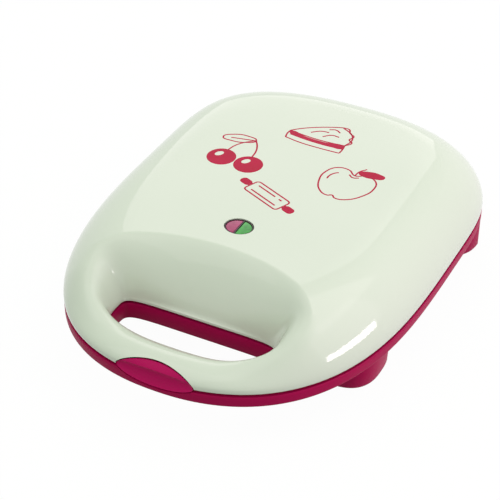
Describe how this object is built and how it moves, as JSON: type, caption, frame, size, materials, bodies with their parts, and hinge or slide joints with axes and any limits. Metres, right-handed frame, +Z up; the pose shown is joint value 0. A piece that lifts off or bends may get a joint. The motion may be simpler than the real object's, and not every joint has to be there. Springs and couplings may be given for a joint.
{
  "type": "electric pie maker",
  "caption": "Countertop pie maker: hinged pillow-shaped lid and base round cast plates with cups, finger-slot handle, latch, lamp window and legs.",
  "frame": {"origin": "on the table under the middle of the whole object, hinge included", "axes": "+X to the right seen from the handle, +Y from the handle to the hinge, +Z up"},
  "size_m": [0.25, 0.3472, 0.0837],
  "materials": {
    "white_gloss": "glossy white moulding with a slight green-cream tint",
    "magenta_moulding": "satin-gloss magenta moulding",
    "latch_moulding": "gloss magenta moulding, a little deeper than the base",
    "non_stick": "die-cast aluminium under a satin black non-stick coat",
    "reflector_sheet": "bright rolled sheet",
    "steel": "plain bright steel",
    "dark_bezel": "dark gloss bezel",
    "red_lens": "tinted red lamp lens",
    "green_lens": "tinted green lamp lens",
    "neon_glass": "clear neon lamp glass",
    "ceramic": "pale heat-proof body",
    "black_rubber": "black rubber"
  },
  "bodies": {
    "base": {"base_shell": "magenta_moulding", "lower_plate": "non_stick", "lower_heating_element": "steel", "lower_reflector": "reflector_sheet", "thermostat": "ceramic", "thermal_fuse": "ceramic", "terminal_block": "ceramic", "cord_gland": "black_rubber", "hinge_pin_left": "steel", "hinge_pin_right": "steel", "foot_pad_front_left": "black_rubber", "foot_pad_front_right": "black_rubber", "foot_pad_rear_left": "black_rubber", "foot_pad_rear_right": "black_rubber", "base_screw_front_left": "steel", "base_screw_front_right": "steel", "base_screw_rear_left": "steel", "base_screw_rear_right": "steel"},
    "lid": {"lid_cover": "white_gloss", "lid_liner": "magenta_moulding", "upper_plate": "non_stick", "upper_heating_element": "steel", "upper_reflector": "reflector_sheet", "lamp_bezel": "dark_bezel", "lamp_lens_red": "red_lens", "lamp_lens_green": "green_lens", "lamp_holder": "ceramic", "neon_lamp_power": "neon_glass", "neon_lamp_ready": "neon_glass", "latch_pin": "steel", "liner_screw_1": "steel", "liner_screw_2": "steel", "liner_screw_3": "steel", "liner_screw_4": "steel", "liner_screw_5": "steel", "liner_screw_6": "steel"},
    "latch": {"latch": "latch_moulding", "latch_spring": "steel"}
  },
  "joints": [
    {"name": "lid_hinge", "type": "hinge", "parent": "base", "child": "lid", "pos_m": [0, 0.1684, 0.04], "axis": [-1, 0, 0], "range_deg": [0, 100]},
    {"name": "latch_pivot", "type": "hinge", "parent": "lid", "child": "latch", "pos_m": [0, -0.1642, 0.0446], "axis": [-1, 0, 0], "range_deg": [0, 5], "stiffness_Nm_per_rad": 0.15, "springref_deg": -17.19}
  ]
}
